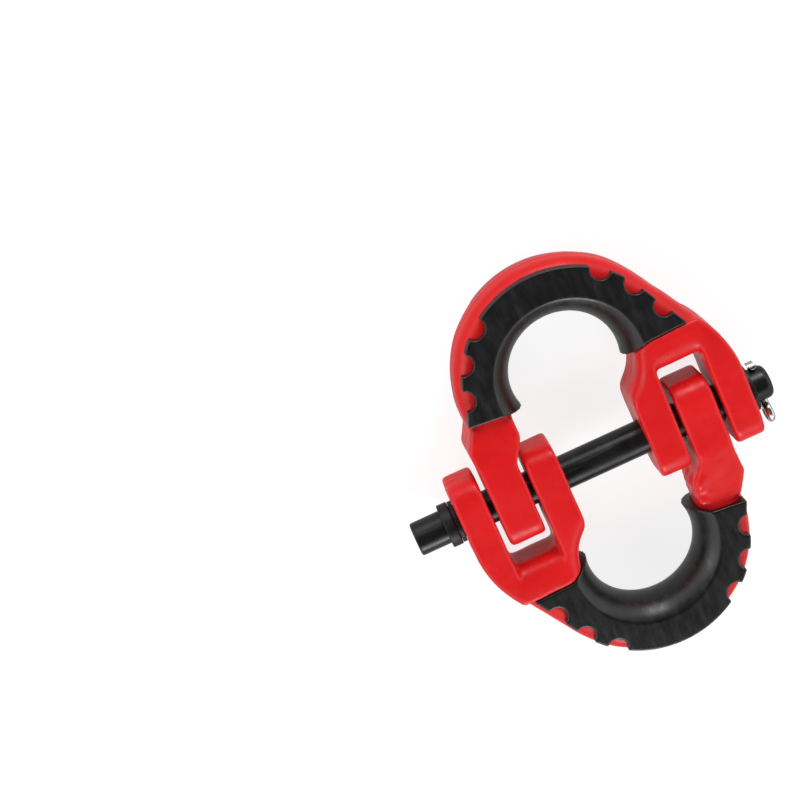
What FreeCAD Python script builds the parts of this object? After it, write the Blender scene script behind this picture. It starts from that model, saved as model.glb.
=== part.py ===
"""Split coupling link: two equal forged halves on one pin, with rubber saddles on their bows.

Frame: X runs along the pin, its head at -X. Y runs along the link. Z is normal to the link.
The origin is on the pin's axis, at the middle of the link. Half A lies at -Y with its fork at -X.
Half B is the same forging turned half a turn about Z. Millimetres throughout.
"""
import FreeCAD, Part
import math
import os

import Sketcher
from FreeCAD import Placement, Rotation, Vector

os.makedirs("parts", exist_ok=True)
doc = FreeCAD.newDocument("coupling_link")

DIMENSIONS = {
    "pin_dia": 16.0,
    "bore_dia": 16.12,
    "link_depth": 31.0,
    "bow_depth": 25.0,
    "bow_offset": 47.0,
    "bow_inner": 30.5,
    "bow_outer": 51.6,
    "bow_inner_round": 7.5,
    "bow_outer_round": 8.5,
    "ear_outer": 72.0,
    "ear_inner": 20.3,
    "slot_left": 57.65,
    "slot_right": 35.35,
    "slot_depth": 29.5,
    "slot_round": 3.5,
    "slot_floor_round": 9.0,
    "tongue_near": 37.75,
    "tongue_far": 55.25,
    "knuckle_reach": 19.5,
    "knuckle_round": 9.5,
    "shoulder_round": 6.5,
    "saddle_crest": 26.0,
    "saddle_flat": 35.0,
    "saddle_outer": 49.0,
    "saddle_gap": 0.3,
    "notch_dia": 10.0,
    "notch_pitch": 17.1,
    "head_end": 94.0,
    "tail_end": 83.2,
    "pin_chamfer": 1.2,
    "collar_dia": 20.8,
    "collar_width": 5.0,
    "washer_bore": 16.14,
    "head_washer_dia": 20.0,
    "head_washer_width": 2.0,
    "end_washer_dia": 22.5,
    "end_washer_width": 2.2,
    "washer_play": 0.15,
    "split_hole_dia": 4.2,
    "split_wire": 3.6,
    "eye_dia": 10.8,
    "split_offset": 77.9,
}
TURN_ABOUT_Z = Placement(Vector(0, 0, 0), Rotation(Vector(0, 0, 1), 180))

# Angles about the centre of half A's bow, in degrees.
CASTING_TAPER = 212.0
SADDLE_TAPER = 208.6
CASTING_LOW = 285
CREST_FORK_END = 167
CREST_TONGUE_END = 18
SADDLE_TONGUE_END = -4
TONGUE_EDGE_START = 3.7
SPLIT_LEG_SPREAD = 78

# Plan points of half A. The saddle butts against the two end faces.
EAR_ROOT_Y = -14.0
FLANK_MIDDLE = Vector(-68.9, -32.0, 0)
FLANK_FOOT_Y = -46.8
FORK_FACE = (Vector(-56.1, -46.5, 0), Vector(-36.0, -45.6, 0), Vector(-29.8, -42.6, 0))
SHOULDER_MIDDLE = Vector(-27.4, -33.2, 0)
SHOULDER_TOP = Vector(-22.2, -26.2, 0)
INNER_ROOT_MIDDLE_Y = -23.4
INNER_ROOT_Y = -20.4
TONGUE_NECK_Y = -18.5
TONGUE_NECK = (Vector(31.6, -28.5, 0), Vector(31.2, -38.4, 0))
TONGUE_HEEL = (Vector(50.6, -41.5, 0), Vector(56.2, -31.0, 0))
TONGUE_HEEL_Y = -21.0
TONGUE_FACE = (Vector(30.5, -40.6, 0), Vector(34.0, -42.0, 0), Vector(51.4, -43.8, 0))

# Other lengths, in millimetres.
BOW_RUN_IN = 9.0
SLOPE_TOP_Y = -14.0
SLOPE_FOOT_Y = -37.0
SLOPE_END_Y = -60.0
SLOPE_STEP = 0.2
SPARE = 2.0
CREST_SPARE = 4.0
SADDLE_CORNER = 56.1
FORK_NOTCH_START = 13.4
TONGUE_NOTCH_START = 11.8
NOTCHES = 3
SPLIT_LEG_GAP = 0.1
SPLIT_BEND = 2.2
SPLIT_NECK = 1.0
SPLIT_TAIL = 1.8


def make_sheet():
    """Put every driving dimension in the spreadsheet, one alias to a row."""
    sheet = doc.addObject("Spreadsheet::Sheet", "Dimensions")
    for row, (alias, value) in enumerate(DIMENSIONS.items(), start=1):
        sheet.set(f"A{row}", alias)
        sheet.set(f"B{row}", str(value))
        sheet.setAlias(f"B{row}", alias)
    doc.recompute()
    return sheet


sheet = make_sheet()


def size(alias):
    """Read one driving dimension."""
    return float(sheet.get(alias))


def bow_point(radius, degrees):
    """A plan point at a radius and angle about the centre of half A's bow."""
    turn = math.radians(degrees)
    return Vector(radius * math.cos(turn), radius * math.sin(turn) - size("bow_offset"), 0)


def new_body(label, placement=None):
    """A PartDesign body with the label that names its file."""
    body = doc.addObject("PartDesign::Body", label)
    body.Label = label
    body.Placement = placement or Placement()
    return body


def new_sketch(body, name, plane):
    """A sketch on one of the body's own origin planes."""
    sketch = body.newObject("Sketcher::SketchObject", name)
    planes = [item for item in body.Origin.OriginFeatures if item.Role == plane]
    sketch.AttachmentSupport = [(planes[0], "")]
    sketch.MapMode = "FlatFace"
    return sketch


def add_path(sketch, steps):
    """Draw a closed outline from line and arc steps and tie each end to the next start.

    A step is a point, for a line to it, or a pair (middle, end), for an arc through the middle.
    """
    ends = [step[1] if isinstance(step, tuple) else step for step in steps]
    start = ends[-1]
    for step in steps:
        if isinstance(step, tuple):
            sketch.addGeometry(Part.Arc(start, step[0], step[1]), False)
            start = step[1]
        else:
            sketch.addGeometry(Part.LineSegment(start, step), False)
            start = step


def add_open_path(sketch, steps):
    """Draw an open route; its first step is the point where it starts."""
    start = steps[0]
    for step in steps[1:]:
        if isinstance(step, tuple):
            sketch.addGeometry(Part.Arc(start, step[0], step[1]), False)
            start = step[1]
        else:
            sketch.addGeometry(Part.LineSegment(start, step), False)
            start = step


def add_feature(body, kind, name, sketch, **values):
    """A sketch-based feature with its properties set; strings are bound as expressions."""
    feature = body.newObject("PartDesign::" + kind, name)
    feature.Profile = sketch
    sketch.Visibility = False
    for key, value in values.items():
        if isinstance(value, str) and value.startswith("="):
            feature.setExpression(key, value[1:])
        else:
            setattr(feature, key, value)
    doc.recompute()
    return feature


def edge_names(shape, chosen):
    """The names of the edges that a test picks."""
    return [f"Edge{n}" for n, edge in enumerate(shape.Edges, start=1) if chosen(edge)]


def add_fillet(body, name, base, chosen, radius):
    """Round the edges that a test picks, with the radius bound to the sheet."""
    fillet = body.newObject("PartDesign::Fillet", name)
    fillet.Base = (base, edge_names(base.Shape, chosen))
    fillet.setExpression("Radius", radius)
    doc.recompute()
    return fillet


def on_circle(edge, radius):
    """Whether an edge is an arc of this radius about the centre of the bow."""
    curve = edge.Curve
    if not isinstance(curve, Part.Circle):
        return False
    centre = Vector(curve.Center.x, curve.Center.y, 0)
    return abs(curve.Radius - radius) < 0.01 and centre.distanceToPoint(bow_point(0, 0)) < 0.01


def taper_steps(radius, taper):
    """Where the fork side's straight flank leaves a circle about the bow, and its direction."""
    turn = math.radians(taper)
    along = Vector(math.sin(turn), -math.cos(turn), 0)
    return bow_point(radius, taper), along


def flank_at(height):
    """The point of the casting's straight flank at a plan height Y."""
    leave, along = taper_steps(size("bow_outer"), CASTING_TAPER)
    return leave + along * ((height - leave.y) / along.y)


def bow_blank(body):
    """The round-edged bar of the bow, between the fork block and the tongue."""
    top = -size("bow_offset") + BOW_RUN_IN
    inner, outer = size("bow_inner"), size("bow_outer")
    leave = bow_point(outer, CASTING_TAPER)
    plan = new_sketch(body, "bow_plan", "XY_Plane")
    add_path(plan, [
        Vector(-inner, top, 0),
        Vector(-inner, -size("bow_offset"), 0),
        (bow_point(inner, 270), bow_point(inner, 0)),
        Vector(inner, top, 0),
        Vector(outer, top, 0),
        bow_point(outer, 0),
        (bow_point(outer, CASTING_LOW), leave),
        flank_at(top),
    ])
    bar = add_feature(body, "Pad", "bow_bar", plan, Length="=Dimensions.bow_depth", Midplane=True)
    outer_round = add_fillet(body, "bow_outer_edges", bar,
                             lambda edge: on_circle(edge, outer), "Dimensions.bow_outer_round")
    return add_fillet(body, "bow_inner_edges", outer_round,
                      lambda edge: on_circle(edge, inner), "Dimensions.bow_inner_round")


def on_shoulder(edge):
    """Whether an edge runs round the fork block's inner shoulder, on either face of the link."""
    middle = edge.CenterOfMass
    on_face = abs(abs(middle.z) - size("link_depth") / 2) < 0.01
    beside = FORK_FACE[-1].x < middle.x < SHOULDER_TOP.x
    return on_face and beside and FORK_FACE[-1].y < middle.y < SHOULDER_TOP.y


def fork_block(body):
    """The forked side in plan, before its slot and bore are cut."""
    reach, outer_x, inner_x = size("knuckle_reach"), -size("ear_outer"), -size("ear_inner")
    plan = new_sketch(body, "fork_plan", "XY_Plane")
    add_path(plan, [
        Vector(outer_x, EAR_ROOT_Y, 0),
        (FLANK_MIDDLE, flank_at(FLANK_FOOT_Y)),
        *FORK_FACE,
        (SHOULDER_MIDDLE, SHOULDER_TOP),
        (Vector(inner_x - 0.5, INNER_ROOT_MIDDLE_Y, 0), Vector(inner_x, INNER_ROOT_Y, 0)),
        Vector(inner_x, reach, 0),
        Vector(outer_x, reach, 0),
    ])
    block = add_feature(body, "Pad", "fork_block", plan,
                        Length="=Dimensions.link_depth", Midplane=True)
    return add_fillet(body, "shoulder_edges", block, on_shoulder, "Dimensions.shoulder_round")


def tongue_block(body):
    """The single tongue in plan, with the shoulder where it meets the bow."""
    reach, near, far = size("knuckle_reach"), size("tongue_near"), size("tongue_far")
    plan = new_sketch(body, "tongue_plan", "XY_Plane")
    add_path(plan, [
        Vector(near, TONGUE_NECK_Y, 0),
        *TONGUE_NECK,
        *TONGUE_HEEL,
        Vector(far, TONGUE_HEEL_Y, 0),
        Vector(far, reach, 0),
        Vector(near, reach, 0),
    ])
    return add_feature(body, "Pad", "tongue_block", plan,
                       Length="=Dimensions.link_depth", Midplane=True)


def thin_tongue(body):
    """Slope the tongue's faces down from the knuckle's depth to the bow's."""
    half, thin = size("link_depth") / 2, size("bow_depth") / 2 + SLOPE_STEP
    side = new_sketch(body, "tongue_side", "YZ_Plane")
    for sign in (1, -1):
        add_path(side, [
            Vector(SLOPE_TOP_Y, sign * half, 0),
            Vector(SLOPE_FOOT_Y, sign * thin, 0),
            Vector(SLOPE_END_Y, sign * thin, 0),
            Vector(SLOPE_END_Y, sign * (half + SPARE), 0),
            Vector(SLOPE_TOP_Y, sign * (half + SPARE), 0),
        ])
    return add_feature(body, "Pocket", "tongue_slope", side, Type="ThroughAll", Reversed=True)


def add_end_rounds(sketch, end, bend):
    """The waste outside the rounded edges of an end face at a height Y, on both sides."""
    half, nick = size("link_depth") / 2, bend * (1 - math.sqrt(0.5))
    for sign in (1, -1):
        add_path(sketch, [
            Vector(end - bend, sign * half, 0),
            (Vector(end - nick, sign * (half - nick), 0), Vector(end, sign * (half - bend), 0)),
            Vector(end + SPARE, sign * (half - bend), 0),
            Vector(end + SPARE, sign * (half + SPARE), 0),
            Vector(end - bend, sign * (half + SPARE), 0),
        ])


def round_knuckles(body):
    """Round the ends of the ears and the tongue about the pin."""
    side = new_sketch(body, "knuckle_side", "YZ_Plane")
    add_end_rounds(side, size("knuckle_reach"), size("knuckle_round"))
    return add_feature(body, "Pocket", "knuckle_ends", side, Type="ThroughAll", Midplane=True)


def cut_slot(body):
    """The fork's slot, open towards the other half."""
    left, right = -size("slot_left"), -size("slot_right")
    floor, bend = -size("slot_depth"), size("slot_round")
    nick = bend * (1 - math.sqrt(0.5))
    top = size("knuckle_reach") + SPARE
    plan = new_sketch(body, "slot_plan", "XY_Plane")
    add_path(plan, [
        Vector(left, floor + bend, 0),
        (Vector(left + nick, floor + nick, 0), Vector(left + bend, floor, 0)),
        Vector(right - bend, floor, 0),
        (Vector(right - nick, floor + nick, 0), Vector(right, floor + bend, 0)),
        Vector(right, top, 0),
        Vector(left, top, 0),
    ])
    add_feature(body, "Pocket", "fork_slot", plan, Type="ThroughAll", Midplane=True)
    side = new_sketch(body, "slot_floor_side", "YZ_Plane")
    side.AttachmentOffset = Placement(Vector(0, 0, (left + right) / 2), Rotation())
    add_end_rounds(side, floor, size("slot_floor_round"))
    return add_feature(body, "Pocket", "slot_floor_edges", side,
                       Length=right - left, Midplane=True)


def bore_knuckles(body):
    """One line bore for the pin through both ears and the tongue."""
    face = new_sketch(body, "bore_circle", "YZ_Plane")
    face.addGeometry(Part.Circle(Vector(0, 0, 0), Vector(0, 0, 1), size("bore_dia") / 2), False)
    face.addConstraint(Sketcher.Constraint("Diameter", 0, size("bore_dia")))
    face.setExpression("Constraints[0]", "Dimensions.bore_dia")
    return add_feature(body, "Pocket", "pin_bore", face, Type="ThroughAll", Midplane=True)


def make_half(label, placement):
    """One forged half link."""
    body = new_body(label, placement)
    bow_blank(body)
    fork_block(body)
    tongue_block(body)
    thin_tongue(body)
    round_knuckles(body)
    cut_slot(body)
    bore_knuckles(body)
    return body


def saddle_plan(body):
    """The rubber saddle in plan, with straight ends square to the bow."""
    outer, crest = size("saddle_outer"), size("saddle_crest")
    gap = Vector(0, size("saddle_gap"), 0)
    leave = bow_point(outer, SADDLE_TAPER)
    plan = new_sketch(body, "saddle_plan", "XY_Plane")
    add_path(plan, [
        *(point - gap for point in FORK_FACE),
        bow_point(crest, CREST_FORK_END),
        (bow_point(crest, 270), bow_point(crest, CREST_TONGUE_END)),
        *TONGUE_FACE,
        bow_point(outer, SADDLE_TONGUE_END),
        (bow_point(outer, CASTING_LOW), leave),
    ])
    return add_feature(body, "Pad", "saddle_blank", plan,
                       Length="=Dimensions.link_depth", Midplane=True)


def crown_saddle(body):
    """Turn the inner side of the saddle to a full round for the strap or shackle it carries."""
    half = size("link_depth") / 2
    centre, crest, flat = -size("bow_offset"), size("saddle_crest"), size("saddle_flat")
    waste = crest - CREST_SPARE
    side = new_sketch(body, "crown_side", "YZ_Plane")
    add_path(side, [
        Vector(centre - waste, half + SPARE, 0),
        Vector(centre - waste, -half - SPARE, 0),
        Vector(centre - flat, -half - SPARE, 0),
        Vector(centre - flat, -half, 0),
        (Vector(centre - crest, 0, 0), Vector(centre - flat, half, 0)),
        Vector(centre - flat, half + SPARE, 0),
    ])
    side.addGeometry(Part.LineSegment(Vector(centre, -half, 0), Vector(centre, half, 0)), True)
    groove = body.newObject("PartDesign::Groove", "crown")
    groove.Profile = side
    groove.ReferenceAxis = (side, ["Axis0"])
    groove.Angle = 360
    doc.recompute()
    return groove


def fork_edge_point(path):
    """The point at a path length along the saddle's fork-side edge, from its end corner."""
    outer = size("saddle_outer")
    leave, along = taper_steps(outer, SADDLE_TAPER)
    straight = math.sqrt(SADDLE_CORNER ** 2 - outer ** 2)
    if path < straight:
        return leave + along * (straight - path)
    return bow_point(outer, SADDLE_TAPER + math.degrees((path - straight) / outer))


def tongue_edge_point(path):
    """The same on the tongue side, where the edge is all one arc."""
    outer = size("saddle_outer")
    return bow_point(outer, TONGUE_EDGE_START - math.degrees(path / outer))


def notch_saddle(body):
    """Three round notches in the outer edge near each end, through both flanks."""
    plan = new_sketch(body, "notch_plan", "XY_Plane")
    for edge_point, first in ((fork_edge_point, FORK_NOTCH_START),
                              (tongue_edge_point, TONGUE_NOTCH_START)):
        for number in range(NOTCHES):
            place = edge_point(first + number * size("notch_pitch"))
            plan.addGeometry(Part.Circle(place, Vector(0, 0, 1), size("notch_dia") / 2), False)
    return add_feature(body, "Pocket", "notches", plan, Type="ThroughAll", Midplane=True)


def make_saddle(label, placement, core):
    """A rubber saddle: the notched, crowned blank less the bow that it is clipped over."""
    blank = new_body(label + "_blank")
    saddle_plan(blank)
    crown_saddle(blank)
    notch_saddle(blank)
    saddle = doc.addObject("Part::Cut", label)
    saddle.Base = blank
    saddle.Tool = core
    saddle.Label = label
    saddle.Placement = placement
    return saddle


def ring(label, outer, bore, width, centre_x):
    """A flat ring on the pin: a disc of one expression less a bore of another."""
    disc = doc.addObject("Part::Cylinder", label + "_disc")
    hole = doc.addObject("Part::Cylinder", label + "_hole")
    for item, diameter in ((disc, outer), (hole, bore)):
        item.setExpression("Radius", f"Dimensions.{diameter} / 2")
        item.setExpression("Height", f"Dimensions.{width}")
    body = doc.addObject("Part::Cut", label)
    body.Base = disc
    body.Tool = hole
    body.Label = label
    body.Placement = Placement(Vector(centre_x - size(width) / 2, 0, 0),
                               Rotation(Vector(0, 1, 0), 90))
    return body


def make_pin():
    """The round pin, chamfered at both ends, with the split pin's cross hole in its tail."""
    radius, head, tail = size("pin_dia") / 2, -size("head_end"), size("tail_end")
    bevel = size("pin_chamfer")
    body = new_body("hinge_pin")
    half = new_sketch(body, "pin_half", "XZ_Plane")
    add_path(half, [
        Vector(head, 0, 0),
        Vector(tail, 0, 0),
        Vector(tail, radius - 2.4 * bevel, 0),
        (Vector(tail - 0.3 * bevel, radius - 1.1 * bevel, 0), Vector(tail - 1.6 * bevel, radius, 0)),
        Vector(head + bevel / 2, radius, 0),
        Vector(head, radius - bevel / 2, 0),
    ])
    turned = body.newObject("PartDesign::Revolution", "pin_bar")
    turned.Profile = half
    turned.ReferenceAxis = (half, ["H_Axis"])
    turned.Angle = 360
    doc.recompute()
    cross = new_sketch(body, "cross_hole_circle", "XZ_Plane")
    place = Vector(size("split_offset"), 0, 0)
    cross.addGeometry(Part.Circle(place, Vector(0, 0, 1), size("split_hole_dia") / 2), False)
    add_feature(body, "Pocket", "cross_hole", cross, Type="ThroughAll", Midplane=True)
    return body


def split_pin_path(wire):
    """Half of the cotter's centre line: round the eye, in at its neck, along a leg and out."""
    gap, bend, eye = SPLIT_LEG_GAP, SPLIT_BEND, size("eye_dia") / 2 - wire
    neck = -size("pin_dia") / 2 - SPLIT_NECK
    mouth = size("pin_dia") / 2 - SPLIT_LEG_GAP
    spread = math.radians(SPLIT_LEG_SPREAD)
    centre = neck - math.sqrt((bend + eye) ** 2 - (gap + bend) ** 2)
    turn = math.asin((gap + bend) / (bend + eye))
    join = Vector(centre + eye * math.cos(turn), eye * math.sin(turn), 0)
    side = Vector(centre - eye * math.sin(turn / 2), eye * math.cos(turn / 2), 0)
    half = (math.pi / 2 - turn) / 2
    throat = Vector(neck - bend * math.sin(half), gap + bend * (1 - math.cos(half)), 0)
    hook = Vector(mouth + bend * math.sin(spread / 2), gap + bend * (1 - math.cos(spread / 2)), 0)
    out = Vector(mouth + bend * math.sin(spread), gap + bend * (1 - math.cos(spread)), 0)
    tip = out + Vector(math.cos(spread), math.sin(spread), 0) * SPLIT_TAIL
    return [Vector(centre - eye, 0, 0), (side, join), (throat, Vector(neck, gap, 0)),
            Vector(mouth, gap, 0), (hook, out), tip]


def make_split_pin():
    """The cotter: a half-round wire doubled back on itself, with a round eye and bent legs."""
    wire = size("split_wire") / 2
    body = new_body("split_pin", Placement(Vector(size("split_offset"), 0, 0), Rotation()))
    route = new_sketch(body, "wire_route", "YZ_Plane")
    steps = split_pin_path(wire)
    add_open_path(route, steps)
    start = steps[0]
    section = new_sketch(body, "wire_section", "XY_Plane")
    add_path(section, [
        Vector(wire, start.x, 0),
        (Vector(0, start.x - wire, 0), Vector(-wire, start.x, 0)),
    ])
    pipe = body.newObject("PartDesign::AdditivePipe", "half_wire")
    pipe.Profile = section
    pipe.Spine = route
    doc.recompute()
    whole = body.newObject("PartDesign::Mirrored", "whole_wire")
    whole.Originals = [pipe]
    planes = [item for item in body.Origin.OriginFeatures if item.Role == "XY_Plane"]
    whole.MirrorPlane = (planes[0], [""])
    body.Tip = whole
    doc.recompute()
    return body


def build():
    """Make every piece and return the ones that are written out."""
    core = new_body("bow_core")
    bow_blank(core)
    pieces = [make_half("half_link_a", Placement()), make_half("half_link_b", TURN_ABOUT_Z)]
    pieces.append(make_saddle("isolator_a", Placement(), core))
    pieces.append(make_saddle("isolator_b", TURN_ABOUT_Z, core))
    pieces.append(make_pin())
    ear, play = size("ear_outer"), size("washer_play")
    head_washer_x = -ear - play - size("head_washer_width") / 2
    collar_x = head_washer_x - size("head_washer_width") / 2 - play - size("collar_width") / 2
    end_washer_x = ear + play + size("end_washer_width") / 2
    pieces.append(ring("pin_collar", "collar_dia", "pin_dia", "collar_width", collar_x))
    pieces.append(ring("head_washer", "head_washer_dia", "washer_bore", "head_washer_width",
                       head_washer_x))
    pieces.append(ring("end_washer", "end_washer_dia", "washer_bore", "end_washer_width",
                       end_washer_x))
    pieces.append(make_split_pin())
    return pieces


def check_all(pieces):
    """Stop if any object failed or any piece is empty or invalid."""
    doc.recompute()
    for item in doc.Objects:
        if "Invalid" in item.State or "Error" in item.State:
            raise RuntimeError(f"{item.Name} failed: {item.State}")
    for piece in pieces:
        if piece.Shape.isNull() or not piece.Shape.isValid():
            raise RuntimeError(f"{piece.Label} has no valid shape")


def write_all(pieces):
    """Write one STEP file to a piece, and print its size for the log."""
    for piece in pieces:
        piece.Shape.exportStep(f"parts/{piece.Label}.step")
        box = piece.Shape.BoundBox
        print(f"{piece.Label:14s} solids {len(piece.Shape.Solids)} volume {piece.Shape.Volume:9.1f} "
              f"x {box.XMin:.2f} {box.XMax:.2f} y {box.YMin:.2f} {box.YMax:.2f} "
              f"z {box.ZMin:.2f} {box.ZMax:.2f}")


pieces = build()
check_all(pieces)
write_all(pieces)
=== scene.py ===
"""Looks for the split coupling link: soft forged halves, rubber saddles, turned pin and cotter.

Everything is in metres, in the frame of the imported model. +X runs along the pin from its head,
+Y towards half B's bow, +Z up. The link lies flat on the floor.
"""
import math

import bmesh
import bpy
from mathutils import Matrix, Vector, noise


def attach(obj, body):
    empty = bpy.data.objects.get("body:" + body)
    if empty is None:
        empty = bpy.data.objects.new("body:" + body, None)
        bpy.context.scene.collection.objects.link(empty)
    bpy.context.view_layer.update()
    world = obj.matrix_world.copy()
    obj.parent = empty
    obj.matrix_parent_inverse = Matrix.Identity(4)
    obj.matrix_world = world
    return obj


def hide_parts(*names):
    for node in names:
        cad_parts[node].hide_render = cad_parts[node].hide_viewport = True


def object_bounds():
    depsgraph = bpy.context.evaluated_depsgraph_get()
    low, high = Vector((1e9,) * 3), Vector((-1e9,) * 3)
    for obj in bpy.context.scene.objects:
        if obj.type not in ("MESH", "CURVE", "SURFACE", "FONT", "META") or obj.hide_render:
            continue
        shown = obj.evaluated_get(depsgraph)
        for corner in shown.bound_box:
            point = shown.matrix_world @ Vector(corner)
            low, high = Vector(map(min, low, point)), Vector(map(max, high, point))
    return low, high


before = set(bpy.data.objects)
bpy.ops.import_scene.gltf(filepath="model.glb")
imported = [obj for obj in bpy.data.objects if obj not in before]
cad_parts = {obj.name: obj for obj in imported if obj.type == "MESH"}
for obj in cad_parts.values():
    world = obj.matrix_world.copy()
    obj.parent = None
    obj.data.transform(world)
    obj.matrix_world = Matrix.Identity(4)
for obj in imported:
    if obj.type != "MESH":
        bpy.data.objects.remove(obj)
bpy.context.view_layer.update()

MM = 0.001

# Mesh work. A voxel is the size of a remeshed quad, and rounds are passes of smoothing.
WELD_DISTANCE = 0.001 * MM
SMOOTHING = 0.5
REMESH_CLEANUP_ROUNDS = 4
WEAR_AND_LIGHT_SPREAD_ROUNDS = 3
CORNER_STEPS = 5
FORGING_VOXEL = 0.7 * MM
FORGING_ROUNDS = 38
# The full depths scale the smoothing mark: on the red forging it carries painted shade in hollows
# and a painted highlight on edges, on the rubber worn edges.
FORGING_FULL_SHADE_AND_HIGHLIGHT = 1.2 * MM
SADDLE_VOXEL = 0.38 * MM
SADDLE_ROUNDS = 6
SADDLE_FULL_WEAR = 0.22 * MM
WIRE_VOXEL = 0.16 * MM
WIRE_ROUNDS = 8

# A forging's skin. A pitch is about how many waves go to a metre. Along is the way from the pin
# to the half's own bow, and across is along the pin, away from the half's fork.
WAVE_PITCH = 85
WAVE_HEIGHT = 0.22 * MM
GRAIN_PITCH = 330
GRAIN_HEIGHT = 0.05 * MM
GRAIN_SHIFT = Vector((5, 2, 9))
FLASH_HEIGHT = 0.25 * MM
FLASH_HALF_WIDTH = 1.5 * MM
FLASH_FROM_ALONG = 30 * MM
FLASH_FROM_ACROSS = -65 * MM
LUMP_PITCH = 150
LUMP_SHIFT = Vector((2.3, 0.4, 1.1))
LUMP_ACROSS = 33 * MM
LUMP_ACROSS_REACH = 7 * MM
LUMP_ALONG = 30 * MM
LUMP_ALONG_REACH = 9 * MM
LUMP_HEIGHT_A = 2.4 * MM
LUMP_HEIGHT_B = 0.4 * MM

# Radii about the pin's axis: the forgings' bores, and the inside of the collar and the washers.
BORE_CLEAR = 8.25 * MM
ON_AXIS = 0.001 * MM
PIN_GRIP = 8.0 * MM
PIN_CLEAR = 8.07 * MM

# The pin. Its edge is a list of (from the end, below full radius) steps.
PIN_FACE_STEP = 0.15 * MM
PIN_FACE_INNER = 0.35
PIN_FACE_OUTER = 0.42
PIN_EDGE = [(0.15 * MM, 0.9 * MM), (0.55 * MM, 0.2 * MM), (1.1 * MM, 0.0)]
PIN_RINGS = 96
PIN_TAIL_LENGTH = 3.1 * MM
PIN_TAIL_DROP = 2.9 * MM
PIN_TAIL_TURNS = (0.0, 0.3, 0.6, 0.9, 1.2, 1.4, math.pi / 2)
PIN_SHARP_ANGLE = math.radians(35)
SPLIT_PIN_X = 77.9 * MM
SPLIT_PIN_HOLE = 4.2 * MM
DRILL_REACH = 20 * MM
TURNED_SEGMENTS = 128
DRILL_SEGMENTS = 48
COLLAR_EDGE = 0.7 * MM
WASHER_EDGE = 0.35 * MM

# The stage. The camera was fitted to the photo's view of the link.
CAMERA_PLACE = Vector((-0.0670, 0.3248, 0.7851))
CAMERA_AIM = Vector((-0.0736, 0.0646, 0.0))
CAMERA_ROLL = math.radians(156.76)
CAMERA_LENS = 83.3
CAMERA_SENSOR = 36
CAMERA_NEAR = 0.05
CAMERA_FAR = 10
FLOOR_GAP = 0.05 * MM
FLOOR_REACH = 4.0
FLOOR_GREY = 0.3
FLOOR_ROUGHNESS = 0.9
FLOOR_GLOW = 0.82

# The sky's greys by the sine of the height above the horizon, tilted about X.
SKY = [(0.0, 0.35), (0.22, 1.0), (0.56, 1.0), (0.72, 0.08), (1.0, 0.05)]
SKY_STRENGTH = 1.5
SKY_TILT = math.radians(9)

# Square soft boxes aimed at the middle of the link: name, place, width, power in watts.
SOFT_BOXES = [
    ("key", (-0.25, -1.30, 0.75), 0.50, 8),
    ("back", (0.45, 1.20, 0.50), 0.45, 6),
    ("side", (-1.10, 0.25, 0.60), 0.50, 2),
]


# ---------------------------------------------------------------- materials

def new_material(name):
    """An empty node material and its shader."""
    material = bpy.data.materials.new(name)
    material.use_nodes = True
    nodes = material.node_tree.nodes
    nodes.clear()
    output = nodes.new("ShaderNodeOutputMaterial")
    shader = nodes.new("ShaderNodeBsdfPrincipled")
    material.node_tree.links.new(shader.outputs["BSDF"], output.inputs["Surface"])
    return material, shader


class Graph:
    """Short calls for building one material's nodes."""

    def __init__(self, material):
        self.tree = material.node_tree
        self.place = self.add("ShaderNodeTexCoord").outputs["Object"]

    def add(self, kind, **values):
        node = self.tree.nodes.new(kind)
        for key, value in values.items():
            setattr(node, key, value)
        return node

    def link(self, source, target):
        self.tree.links.new(source, target)

    def noise(self, scale, detail=3.0, roughness=0.5, stretch=(1, 1, 1)):
        """Object-space noise, from 0 to 1. Scale counts features to a metre."""
        mapping = self.add("ShaderNodeMapping")
        mapping.inputs["Scale"].default_value = stretch
        self.link(self.place, mapping.inputs["Vector"])
        texture = self.add("ShaderNodeTexNoise")
        texture.inputs["Scale"].default_value = scale
        texture.inputs["Detail"].default_value = detail
        texture.inputs["Roughness"].default_value = roughness
        self.link(mapping.outputs["Vector"], texture.inputs["Vector"])
        return texture.outputs["Fac"]

    def ramp(self, value, stops):
        """Map a value to colours or greys through (position, grey or colour) stops."""
        node = self.add("ShaderNodeValToRGB")
        elements = node.color_ramp.elements
        while len(elements) < len(stops):
            elements.new(0.5)
        for element, (position, colour) in zip(elements, stops):
            element.position = position
            if isinstance(colour, (int, float)):
                colour = (colour, colour, colour)
            element.color = (*colour, 1)
        self.link(value, node.inputs["Fac"])
        return node.outputs["Color"]

    def mix(self, factor, first, second):
        """Blend two colours; each is a colour or a socket."""
        node = self.add("ShaderNodeMix", data_type="RGBA")
        self.link(factor, node.inputs["Factor"])
        for value, socket in ((first, node.inputs["A"]), (second, node.inputs["B"])):
            if isinstance(value, tuple):
                socket.default_value = (*value, 1)
            else:
                self.link(value, socket)
        return node.outputs["Result"]

    def bump(self, heights, strength, distance, below=None):
        """A bump layer over an optional lower one."""
        node = self.add("ShaderNodeBump")
        node.inputs["Strength"].default_value = strength
        node.inputs["Distance"].default_value = distance
        self.link(heights, node.inputs["Height"])
        if below is not None:
            self.link(below, node.inputs["Normal"])
        return node.outputs["Normal"]

    def wear_and_painted_light(self, stops):
        """Greys by what smoothing took off: 0.5 on the flat, more on edges, less in hollows. They
        mark wear, and on the red coat painted shade and a painted highlight.
        """
        attribute = self.add("ShaderNodeAttribute", attribute_name="wear_and_painted_light")
        return self.ramp(attribute.outputs["Fac"], stops)


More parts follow.
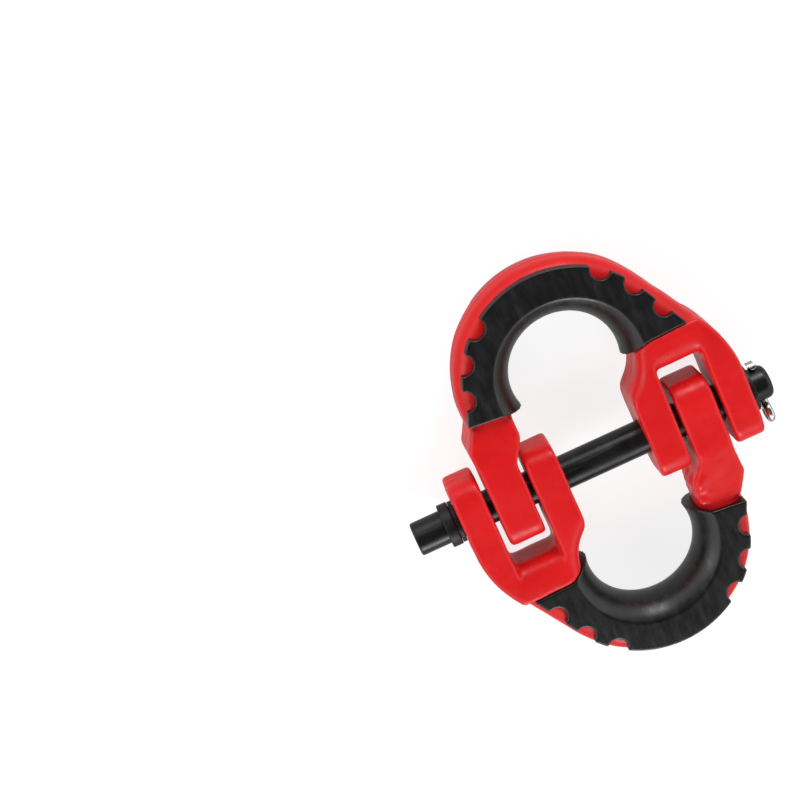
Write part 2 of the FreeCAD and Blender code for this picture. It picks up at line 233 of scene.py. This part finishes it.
def red_powder_coat():
    """Satin red powder coat over a forging: thin and lighter on edges, with a painted highlight
    there, and painted shade darkening the hollows.
    """
    material, shader = new_material("red_powder_coat")
    graph = Graph(material)
    deep_red, red = (0.68, 0.009, 0.011), (0.78, 0.014, 0.016)
    # Painted shade: a dark red for the hollows. Painted highlight: a lighter red for the edges,
    # where the coat is also thin.
    painted_shade_red, edge_highlight_red = (0.36, 0.001, 0.003), (0.80, 0.030, 0.035)
    patches = graph.noise(scale=45, detail=5, roughness=0.6)
    base = graph.ramp(patches, [(0.30, deep_red), (0.70, red)])
    # Painted shade in the hollows, where smoothing filled in.
    painted_shade_mask = graph.wear_and_painted_light([(0.12, 1.0), (0.38, 0.0)])
    shaded = graph.mix(painted_shade_mask, base, painted_shade_red)
    # Painted highlight on the edges, where smoothing took most off; the coat is thin there too.
    edge = graph.wear_and_painted_light([(0.56, 0.0), (0.85, 1.0)])
    graph.link(graph.mix(edge, shaded, edge_highlight_red), shader.inputs["Base Color"])
    gloss = graph.noise(scale=130, detail=4, roughness=0.6)
    graph.link(graph.ramp(gloss, [(0.3, 0.25), (0.7, 0.38)]), shader.inputs["Roughness"])
    shader.inputs["Specular IOR Level"].default_value = 0.25
    peel = graph.bump(graph.noise(scale=1100, detail=2), strength=0.06, distance=0.2 * MM)
    dents = graph.noise(scale=95, detail=3, roughness=0.45)
    waves = graph.bump(dents, strength=0.35, distance=1.0 * MM, below=peel)
    graph.link(waves, shader.inputs["Normal"])
    return material


def black_rubber():
    """Moulded black rubber with cloudy bloom, faint flow streaks and scuffed pale edges."""
    material, shader = new_material("black_rubber")
    graph = Graph(material)
    black, bloom_black = (0.0024, 0.0024, 0.0025), (0.0070, 0.0071, 0.0070)
    streak_grey, edge_grey = (0.018, 0.018, 0.018), (0.065, 0.065, 0.067)
    bloom = graph.noise(scale=70, detail=6, roughness=0.65)
    streaks = graph.noise(scale=260, detail=4, roughness=0.6, stretch=(1, 0.25, 1))
    base = graph.ramp(bloom, [(0.32, black), (0.75, bloom_black)])
    streaky = graph.mix(graph.ramp(streaks, [(0.52, 0.0), (0.78, 0.5)]), base, streak_grey)
    edge = graph.wear_and_painted_light([(0.60, 0.0), (0.95, 1.0)])
    graph.link(graph.mix(edge, streaky, edge_grey), shader.inputs["Base Color"])
    graph.link(graph.ramp(streaks, [(0.3, 0.25), (0.7, 0.42)]), shader.inputs["Roughness"])
    shader.inputs["Specular IOR Level"].default_value = 0.5
    grain = graph.bump(graph.noise(scale=2800, detail=2), strength=0.16, distance=0.12 * MM)
    flow = graph.bump(streaks, strength=0.25, distance=0.3 * MM, below=grain)
    graph.link(flow, shader.inputs["Normal"])
    return material


def black_steel(name, dark, light, roughness):
    """Black oxide on turned steel: rings round the axis, brown stains, and a few lighter lengthwise
    streaks of painted reflection that also roughen it like rubs.
    """
    material, shader = new_material(name)
    graph = Graph(material)
    brown, painted_reflection_grey = (0.055, 0.032, 0.026), (0.11, 0.11, 0.115)
    vary = 0.07
    rings = graph.noise(scale=2600, detail=2, stretch=(1, 0.02, 0.02))
    # Painted reflection: lighter lengthwise streaks along the pin; the same streaks make the finish
    # rougher.
    rubs_and_reflection_streaks = graph.noise(scale=420, detail=4, roughness=0.6, stretch=(0.06, 1, 1))
    stain = graph.noise(scale=60, detail=4, roughness=0.6)
    base = graph.ramp(stain, [(0.3, dark), (0.62, light), (0.85, brown)])
    with_painted_streaks = graph.mix(graph.ramp(rubs_and_reflection_streaks, [(0.58, 0.0), (0.80, 0.6)]), base, painted_reflection_grey)
    graph.link(with_painted_streaks, shader.inputs["Base Color"])
    shader.inputs["Metallic"].default_value = 0.6
    dulling = graph.ramp(rubs_and_reflection_streaks, [(0.3, roughness - vary), (0.7, roughness + vary)])
    graph.link(dulling, shader.inputs["Roughness"])
    graph.link(graph.bump(rings, strength=0.10, distance=0.1 * MM), shader.inputs["Normal"])
    return material


def zinc_wire():
    """Bright plated wire, finely scuffed."""
    material, shader = new_material("zinc_wire")
    graph = Graph(material)
    dull_zinc, bright_zinc = (0.50, 0.50, 0.49), (0.76, 0.76, 0.74)
    cloud = graph.noise(scale=700)
    graph.link(graph.ramp(cloud, [(0.3, dull_zinc), (0.7, bright_zinc)]),
               shader.inputs["Base Color"])
    shader.inputs["Metallic"].default_value = 1.0
    graph.link(graph.ramp(cloud, [(0.3, 0.18), (0.7, 0.32)]), shader.inputs["Roughness"])
    scuffs = graph.noise(scale=1800, detail=2)
    graph.link(graph.bump(scuffs, strength=0.10, distance=0.1 * MM), shader.inputs["Normal"])
    return material


# ---------------------------------------------------------------- mesh work

def copy_of_node(node, name):
    """A new mesh object with a CAD node's shape, its faces joined into one closed skin."""
    shape = bmesh.new()
    shape.from_mesh(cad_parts[node].data)
    bmesh.ops.remove_doubles(shape, verts=shape.verts, dist=WELD_DISTANCE)
    mesh = bpy.data.meshes.new(name)
    shape.to_mesh(mesh)
    shape.free()
    piece = bpy.data.objects.new(name, mesh)
    bpy.context.scene.collection.objects.link(piece)
    return piece


def apply_modifiers(piece):
    """Bake the piece's modifiers into its mesh."""
    evaluated = piece.evaluated_get(bpy.context.evaluated_depsgraph_get())
    mesh = bpy.data.meshes.new_from_object(evaluated)
    piece.modifiers.clear()
    piece.data = mesh


def remesh(piece, voxel):
    """Even skin of small quads over the piece's solid."""
    modifier = piece.modifiers.new("remesh", "REMESH")
    modifier.mode = "VOXEL"
    modifier.voxel_size = voxel
    modifier.use_smooth_shade = True
    apply_modifiers(piece)


def soften(piece, rounds):
    """Round edges and corners by repeated smoothing."""
    modifier = piece.modifiers.new("soften", "SMOOTH")
    modifier.factor = SMOOTHING
    modifier.iterations = rounds
    apply_modifiers(piece)


def spread(mesh, values, rounds):
    """Average values over neighbouring vertices, several times."""
    joins = [tuple(edge.vertices) for edge in mesh.edges]
    for _ in range(rounds):
        totals, counts = list(values), [1] * len(values)
        for first, second in joins:
            totals[first] += values[second]
            totals[second] += values[first]
            counts[first] += 1
            counts[second] += 1
        values = [total / count for total, count in zip(totals, counts)]
    return values


def soften_and_record(piece, rounds, full_depth):
    """Soften a piece and keep how much came off each place as a mark, 0.5 meaning none.

    The mark is 1 where at least the full depth came off, and 0 where at least that much was filled
    in. On the rubber it stands for worn edges; on the red coat it paints shade in the hollows and a
    highlight on the edges.
    """
    soften(piece, REMESH_CLEANUP_ROUNDS)
    before = [vertex.co.copy() for vertex in piece.data.vertices]
    soften(piece, rounds)
    mesh = piece.data
    taken = [(old - vertex.co).dot(vertex.normal) for old, vertex in zip(before, mesh.vertices)]
    even = spread(mesh, taken, WEAR_AND_LIGHT_SPREAD_ROUNDS)
    wear_and_painted_light = [0.5 + 0.5 * max(-1, min(1, value / full_depth)) for value in even]
    mesh.attributes.new("wear_and_painted_light", "FLOAT", "POINT").data.foreach_set("value", wear_and_painted_light)


def finish_piece(piece, body, material, node):
    """Give a piece its material and its body, and hide the CAD node that it stands for."""
    piece.data.materials.clear()
    piece.data.materials.append(material)
    for polygon in piece.data.polygons:
        polygon.use_smooth = True
    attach(piece, body)
    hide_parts(node)


def move_vertices(piece, shift):
    """Move each vertex by what a rule of its place and normal gives."""
    mesh = piece.data
    moves = [shift(vertex.co, vertex.normal) for vertex in mesh.vertices]
    for vertex, move in zip(mesh.vertices, moves):
        vertex.co += move
    mesh.update()


def bell(value, centre, width):
    """A smooth bump from 0 to 1 and back, of a half width."""
    reach = abs(value - centre) / width
    return 0.0 if reach >= 1 else (1 - reach * reach) ** 2


def forged_skin(side):
    """How a forging's skin differs from its drawing: waves, a flash line and a lumpy shoulder.

    Side is 1 for half A and -1 for half B, which is half A turned half a turn about Z.
    The flash line runs round the bow and down the fork's outer ear. The photo shows a lumpy
    shoulder on half A only.
    """
    lump_height = LUMP_HEIGHT_A if side > 0 else LUMP_HEIGHT_B

    def shift(place, normal):
        across, along = place.x * side, -place.y * side
        wave = noise.noise(place * WAVE_PITCH) * WAVE_HEIGHT
        grain = noise.noise(place * GRAIN_PITCH + GRAIN_SHIFT) * GRAIN_HEIGHT
        flash = bell(place.z, 0, FLASH_HALF_WIDTH) * (1 - abs(normal.z)) * FLASH_HEIGHT
        if along <= FLASH_FROM_ALONG and across >= FLASH_FROM_ACROSS:
            flash = 0
        near = bell(across, LUMP_ACROSS, LUMP_ACROSS_REACH)
        near *= bell(along, LUMP_ALONG, LUMP_ALONG_REACH)
        lump = near * noise.noise(place * LUMP_PITCH + LUMP_SHIFT) * lump_height
        return normal * (wave + grain + flash + lump)
    return shift


def clear_bore(place, normal):
    """Keep a softened bore a little wider than the pin."""
    from_axis = math.hypot(place.y, place.z)
    if from_axis > BORE_CLEAR or from_axis < ON_AXIS:
        return Vector((0, 0, 0))
    return Vector((0, place.y, place.z)) * (BORE_CLEAR / from_axis - 1)


def forged_half(node, body, material, side):
    """A half link with the soft edges and slightly uneven skin of a forging."""
    piece = copy_of_node(node, node + "_forging")
    remesh(piece, FORGING_VOXEL)
    soften_and_record(piece, FORGING_ROUNDS, FORGING_FULL_SHADE_AND_HIGHLIGHT)
    move_vertices(piece, forged_skin(side))
    move_vertices(piece, clear_bore)
    finish_piece(piece, body, material, node)


def moulded_saddle(node, body, material):
    """A rubber saddle with small moulded radii."""
    piece = copy_of_node(node, node + "_moulding")
    remesh(piece, SADDLE_VOXEL)
    soften_and_record(piece, SADDLE_ROUNDS, SADDLE_FULL_WEAR)
    finish_piece(piece, body, material, node)


def turned(name, profile, segments=TURNED_SEGMENTS):
    """A closed solid turned about the X axis from (x, radius) steps.

    A profile that starts and ends on the axis makes a bar. One that stays off it makes a ring.
    """
    shape = bmesh.new()
    loops = []
    for x, radius in profile:
        if radius == 0:
            loops.append([shape.verts.new((x, 0, 0))])
            continue
        loop = []
        for step in range(segments):
            turn = 2 * math.pi * step / segments
            loop.append(shape.verts.new((x, radius * math.cos(turn), radius * math.sin(turn))))
        loops.append(loop)
    pairs = list(zip(loops, loops[1:]))
    if profile[0][1] > 0:
        pairs.append((loops[-1], loops[0]))
    for first, second in pairs:
        for step in range(segments):
            after = (step + 1) % segments
            corners = [first[step % len(first)], first[after % len(first)],
                       second[after % len(second)], second[step % len(second)]]
            shape.faces.new(list(dict.fromkeys(corners)))
    bmesh.ops.recalc_face_normals(shape, faces=shape.faces)
    mesh = bpy.data.meshes.new(name)
    shape.to_mesh(mesh)
    shape.free()
    piece = bpy.data.objects.new(name, mesh)
    bpy.context.scene.collection.objects.link(piece)
    return piece


def rounded(points, radius):
    """A closed profile with its corners rounded."""
    profile = []
    count = len(points)
    for number, point in enumerate(points):
        before, after = Vector(points[number - 1]), Vector(points[(number + 1) % count])
        corner = Vector(point)
        start = corner + (before - corner).normalized() * radius
        end = corner + (after - corner).normalized() * radius
        for step in range(CORNER_STEPS + 1):
            blend = step / CORNER_STEPS
            place = start.lerp(corner, blend).lerp(corner.lerp(end, blend), blend)
            profile.append((place.x, place.y))
    return profile


def node_span(node):
    """A CAD node's lowest and highest X, and its greatest radius about X."""
    places = [vertex.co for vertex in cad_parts[node].data.vertices]
    across = [place.x for place in places]
    return min(across), max(across), max(math.hypot(place.y, place.z) for place in places)


def drill(piece, place, diameter):
    """A hole along Y through a turned piece."""
    radius = diameter / 2
    profile = [(-DRILL_REACH, 0), (-DRILL_REACH, radius), (DRILL_REACH, radius), (DRILL_REACH, 0)]
    bit = turned("drill", profile, DRILL_SEGMENTS)
    bit.matrix_world = Matrix.Translation(place) @ Matrix.Rotation(math.pi / 2, 4, "Z")
    bpy.context.view_layer.update()
    modifier = piece.modifiers.new("drill", "BOOLEAN")
    modifier.operation = "DIFFERENCE"
    modifier.object = bit
    apply_modifiers(piece)
    bpy.data.objects.remove(bit)


def turned_pin(body, material):
    """The pin: a stepped head face, a bar of short rings, a rounded tail and its cross hole."""
    low, high, radius = node_span("hinge_pin")
    face = [(low, 0), (low, PIN_FACE_INNER * radius),
            (low + PIN_FACE_STEP, PIN_FACE_OUTER * radius)]
    edge = [(low + inward, radius - below) for inward, below in PIN_EDGE]
    bar_start, bar_end = edge[-1][0], high - PIN_TAIL_LENGTH
    ring = (bar_end - bar_start) / PIN_RINGS
    bar = [(bar_start + ring * number, radius) for number in range(1, PIN_RINGS)]
    tail = [(bar_end + PIN_TAIL_LENGTH * math.sin(turn),
             radius - PIN_TAIL_DROP * (1 - math.cos(turn))) for turn in PIN_TAIL_TURNS]
    piece = turned("hinge_pin_bar", face + edge + bar + tail + [(high, 0)])
    drill(piece, Vector((SPLIT_PIN_X, 0, 0)), SPLIT_PIN_HOLE)
    finish_piece(piece, body, material, "hinge_pin")
    piece.data.set_sharp_from_angle(angle=PIN_SHARP_ANGLE)


def turned_ring(node, name, body, material, edge, inner):
    """A collar or washer with rounded edges."""
    low, high, radius = node_span(node)
    points = [(low, inner), (low, radius), (high, radius), (high, inner)]
    piece = turned(name, rounded(points, edge))
    finish_piece(piece, body, material, node)


def drawn_cotter(body, material):
    """The split pin, with the edges of its half-round wire rolled soft."""
    piece = copy_of_node("split_pin", "split_pin_wire")
    remesh(piece, WIRE_VOXEL)
    soften(piece, WIRE_ROUNDS)
    finish_piece(piece, body, material, "split_pin")


# ---------------------------------------------------------------- stage

def make_camera():
    """A long lens above the link, rolled so that the pin rises to the right."""
    data = bpy.data.cameras.new("camera")
    data.lens = CAMERA_LENS
    data.sensor_width = CAMERA_SENSOR
    data.clip_start = CAMERA_NEAR
    data.clip_end = CAMERA_FAR
    camera = bpy.data.objects.new("camera", data)
    bpy.context.scene.collection.objects.link(camera)
    level = (CAMERA_AIM - CAMERA_PLACE).to_track_quat("-Z", "Y").to_matrix()
    turn = level @ Matrix.Rotation(CAMERA_ROLL, 3, "Z")
    camera.matrix_world = Matrix.Translation(CAMERA_PLACE) @ turn.to_4x4()
    bpy.context.scene.camera = camera


def make_floor():
    """A wide white floor just under the finished link, lit a little from within like a table.

    The link neither mirrors it nor takes its light, so its sides stay deep in colour.
    """
    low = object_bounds()[0][2] - FLOOR_GAP
    mesh = bpy.data.meshes.new("floor")
    reach = FLOOR_REACH
    corners = [(-reach, -reach, low), (reach, -reach, low), (reach, reach, low),
               (-reach, reach, low)]
    mesh.from_pydata(corners, [], [(0, 1, 2, 3)])
    floor = bpy.data.objects.new("floor", mesh)
    bpy.context.scene.collection.objects.link(floor)
    material, shader = new_material("pale_floor")
    shader.inputs["Base Color"].default_value = (FLOOR_GREY, FLOOR_GREY, FLOOR_GREY, 1)
    shader.inputs["Roughness"].default_value = FLOOR_ROUGHNESS
    shader.inputs["Emission Color"].default_value = (1, 1, 1, 1)
    shader.inputs["Emission Strength"].default_value = FLOOR_GLOW
    mesh.materials.append(material)
    floor.visible_diffuse = False
    floor.visible_glossy = False


def soft_box(name, place, width, power):
    """A square light aimed at the middle of the link."""
    data = bpy.data.lights.new(name, "AREA")
    data.shape = "SQUARE"
    data.size = width
    data.energy = power
    lamp = bpy.data.objects.new(name, data)
    bpy.context.scene.collection.objects.link(lamp)
    lamp.location = place
    lamp.rotation_euler = (-Vector(place)).to_track_quat("-Z", "Y").to_euler()


def make_world():
    """A ring of soft light all round, dark overhead so that the flat faces stay deep in colour."""
    world = bpy.data.worlds.new("world")
    world.use_nodes = True
    tree = world.node_tree
    place = tree.nodes.new("ShaderNodeTexCoord")
    turn = tree.nodes.new("ShaderNodeMapping")
    turn.inputs["Rotation"].default_value = (SKY_TILT, 0, 0)
    split = tree.nodes.new("ShaderNodeSeparateXYZ")
    ramp = tree.nodes.new("ShaderNodeValToRGB")
    tree.links.new(place.outputs["Generated"], turn.inputs["Vector"])
    tree.links.new(turn.outputs["Vector"], split.inputs["Vector"])
    tree.links.new(split.outputs["Z"], ramp.inputs["Fac"])
    tree.links.new(ramp.outputs["Color"], tree.nodes["Background"].inputs["Color"])
    elements = ramp.color_ramp.elements
    while len(elements) < len(SKY):
        elements.new(0.5)
    for element, (height, grey) in zip(elements, SKY):
        element.position = height
        element.color = (grey, grey, grey, 1)
    tree.nodes["Background"].inputs["Strength"].default_value = SKY_STRENGTH
    bpy.context.scene.world = world


def make_lights():
    """The sky and three soft boxes: beyond half A, beyond half B and past the pin's head."""
    make_world()
    bpy.context.scene.view_settings.view_transform = "Standard"
    for name, place, width, power in SOFT_BOXES:
        soft_box(name, place, width, power)


# ---------------------------------------------------------------- the link

def build():
    """Every piece of the link, each in place of its CAD node."""
    red = red_powder_coat()
    rubber = black_rubber()
    steel = black_steel("black_steel", (0.010, 0.010, 0.011), (0.032, 0.032, 0.034), 0.30)
    dull = black_steel("dull_black_steel", (0.012, 0.012, 0.013), (0.030, 0.030, 0.031), 0.46)
    forged_half("half_link_a", "half_a", red, 1)
    forged_half("half_link_b", "half_b", red, -1)
    moulded_saddle("isolator_a", "half_a", rubber)
    moulded_saddle("isolator_b", "half_b", rubber)
    turned_pin("pin", steel)
    turned_ring("pin_collar", "pin_collar_ring", "pin", dull, COLLAR_EDGE, PIN_GRIP)
    for washer in ("head_washer", "end_washer"):
        turned_ring(washer, washer + "_ring", washer, dull, WASHER_EDGE, PIN_CLEAR)
    drawn_cotter("pin", zinc_wire())


build()
make_floor()
make_lights()
make_camera()
